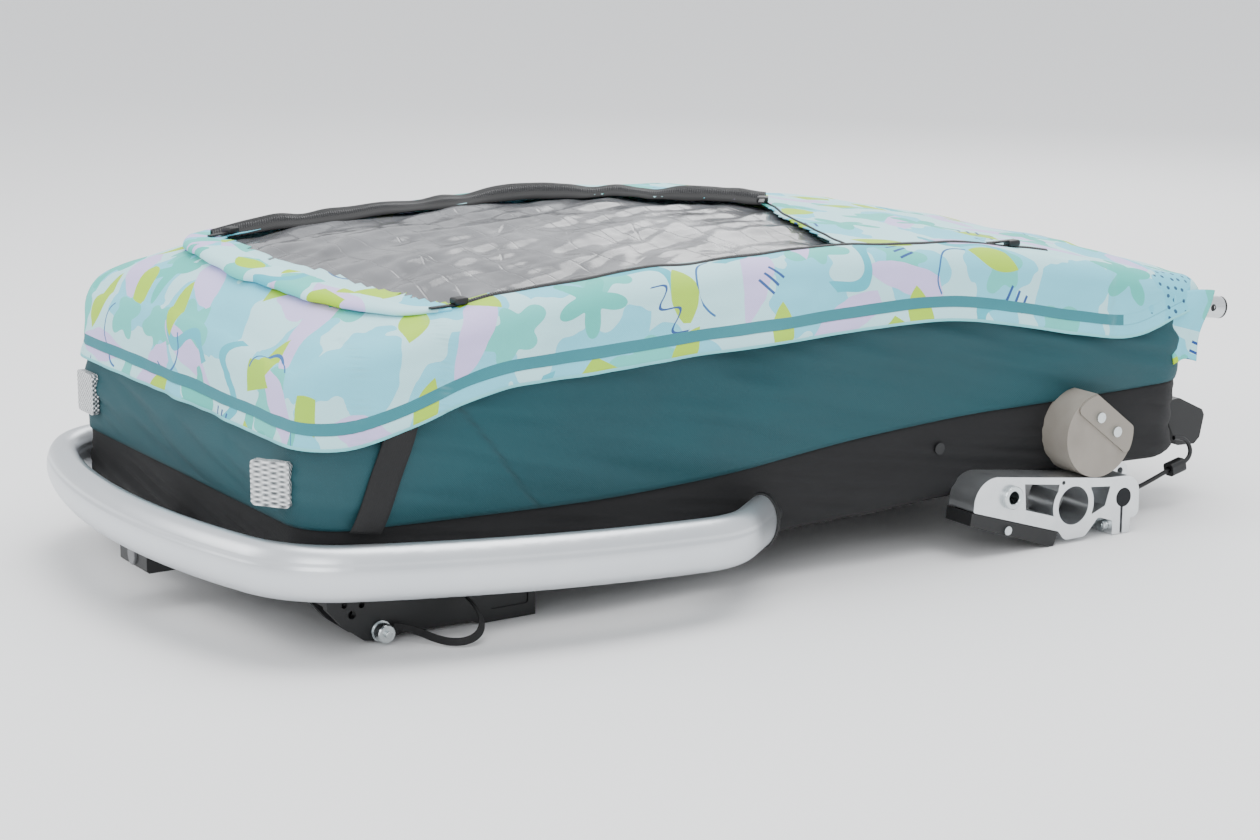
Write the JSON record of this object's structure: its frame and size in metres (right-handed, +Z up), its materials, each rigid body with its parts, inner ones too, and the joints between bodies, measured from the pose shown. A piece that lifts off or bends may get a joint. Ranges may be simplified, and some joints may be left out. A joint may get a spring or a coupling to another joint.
{
  "type": "child bicycle trailer",
  "caption": "Single-seat child bicycle trailer folded flat: oval tube bumper, fabric tub, printed cover with film window, sprung swing arms for clip-on wheels and a fold-up roof frame.",
  "frame": {"origin": "on the floor under the middle of the folded trailer", "axes": "+Z up, +X to the trailer's left side, +Y to its rear, so -Y is its front"},
  "size_m": [0.6488, 1.082, 0.3042],
  "materials": {
    "anodised_silver": "satin anodised silver",
    "tube_silver": "drawn tube, clear anodised",
    "frame_tube": "drawn tube, plain",
    "black_plastic": "fine moulded texture",
    "grey_plastic": "fine moulded texture",
    "machined_aluminium": "extruded, sawn and machined",
    "black_steel": "blackened",
    "zinc_steel": "zinc plated",
    "elastomer": "smooth cut microcellular foam",
    "coated_plate": "fine matt coat",
    "tub_cloth": "coated woven polyester",
    "side_cloth": "coated woven polyester",
    "cover_cloth": "printed woven polyester",
    "window_clear": "soft tinted clear film",
    "zip_tape": "coil zip on woven tape",
    "reflector_clear": "prismatic, clear",
    "webbing": "flat woven webbing",
    "cable_sheath": "smooth sheath",
    "floor_board": "twin-wall board",
    "seat_cloth": "padded woven polyester"
  },
  "bodies": {
    "root": {"bumper_tube": "anodised_silver", "bumper_boot_left": "black_plastic", "bumper_boot_right": "black_plastic", "side_rail_left": "frame_tube", "side_rail_right": "frame_tube", "front_cross_tube": "frame_tube", "tail_cross_tube": "frame_tube", "axle_tube": "frame_tube", "pivot_bearings": "black_plastic", "rear_bracket_left": "machined_aluminium", "rear_bracket_right": "machined_aluminium", "elastomer_left": "elastomer", "elastomer_right": "elastomer", "elastomer_plates": "coated_plate", "elastomer_screws": "zinc_steel", "tub_fabric": "tub_cloth", "side_fabric": "side_cloth", "cover_front": "cover_cloth", "reflector_left": "reflector_clear", "reflector_right": "reflector_clear", "corner_straps": "webbing", "tub_snaps": "black_plastic", "front_socket": "black_plastic", "hitch_bracket_left": "black_plastic", "hitch_bracket_right": "black_plastic", "pin_lanyard_left": "webbing", "pin_lanyard_right": "webbing", "brake_cable": "cable_sheath", "cable_boot": "black_plastic", "pedal_bracket": "black_plastic", "floor_panel": "floor_board", "seat_cushion": "seat_cloth", "backrest_hinge": "machined_aluminium", "roof_hinges": "machined_aluminium", "roof_hinge_pins": "zinc_steel"},
    "roof": {"roof_tube_left": "tube_silver", "roof_tube_right": "tube_silver", "handle_rings": "black_plastic", "roof_cross_tubes": "frame_tube", "cover_top": "cover_cloth", "window_film": "window_clear", "window_zips": "zip_tape", "zip_sliders": "black_plastic"},
    "backrest": {"backrest": "seat_cloth"},
    "swing_arm_left": {"swing_arm_left": "machined_aluminium", "arm_shaft_left": "black_steel", "axle_bush_left": "zinc_steel", "arm_foot_left": "black_plastic", "arm_bolts_left": "zinc_steel"},
    "swing_arm_right": {"swing_arm_right": "machined_aluminium", "arm_shaft_right": "black_steel", "axle_bush_right": "zinc_steel", "arm_foot_right": "black_plastic", "arm_bolts_right": "zinc_steel"},
    "brake_pedal": {"brake_pedal": "black_plastic"},
    "socket_button": {"socket_button": "grey_plastic"},
    "hitch_pin_left": {"hitch_pin_left": "zinc_steel"},
    "pin_plunger_left": {"pin_plunger_left": "zinc_steel"},
    "hitch_pin_right": {"hitch_pin_right": "zinc_steel"},
    "pin_plunger_right": {"pin_plunger_right": "zinc_steel"}
  },
  "joints": [
    {"name": "roof_fold", "type": "hinge", "parent": "root", "child": "roof", "pos_m": [0, -0.4, 0.245], "axis": [1, 0, 0], "range_deg": [0, 52]},
    {"name": "backrest_fold", "type": "hinge", "parent": "root", "child": "backrest", "pos_m": [0, 0.412, 0.128], "axis": [-1, 0, 0], "range_deg": [0, 95]},
    {"name": "swing_left", "type": "hinge", "parent": "root", "child": "swing_arm_left", "pos_m": [0.263, 0.369, 0.035], "axis": [-1, 0, 0], "range_deg": [-3, 6], "stiffness_Nm_per_rad": 275, "springref_deg": -0.69, "deforming": ["elastomer_left"]},
    {"name": "swing_right", "type": "hinge", "parent": "root", "child": "swing_arm_right", "pos_m": [-0.263, 0.369, 0.035], "axis": [-1, 0, 0], "range_deg": [-3, 6], "stiffness_Nm_per_rad": 275, "springref_deg": -0.69, "deforming": ["elastomer_right"]},
    {"name": "pedal_press", "type": "hinge", "parent": "root", "child": "brake_pedal", "pos_m": [0.183, 0.5, 0.09], "axis": [-1, 0, 0], "range_deg": [0, 18]},
    {"name": "button_press", "type": "slide", "parent": "root", "child": "socket_button", "axis": [0, 1, 0], "range_m": [0, 0.003], "stiffness_N_per_m": 400},
    {"name": "pin_pull_left", "type": "slide", "parent": "root", "child": "hitch_pin_left", "axis": [1, 0, 0], "range_m": [0, 0.048]},
    {"name": "pin_pull_right", "type": "slide", "parent": "root", "child": "hitch_pin_right", "axis": [-1, 0, 0], "range_m": [0, 0.048]},
    {"name": "plunger_press_left", "type": "slide", "parent": "hitch_pin_left", "child": "pin_plunger_left", "axis": [-1, 0, 0], "range_m": [0, 0.003], "stiffness_N_per_m": 300},
    {"name": "plunger_press_right", "type": "slide", "parent": "hitch_pin_right", "child": "pin_plunger_right", "axis": [1, 0, 0], "range_m": [0, 0.003], "stiffness_N_per_m": 300}
  ],
  "couplings": [
    {"joint": "backrest_fold", "follows": "roof_fold", "ratio": 1.8}
  ]
}
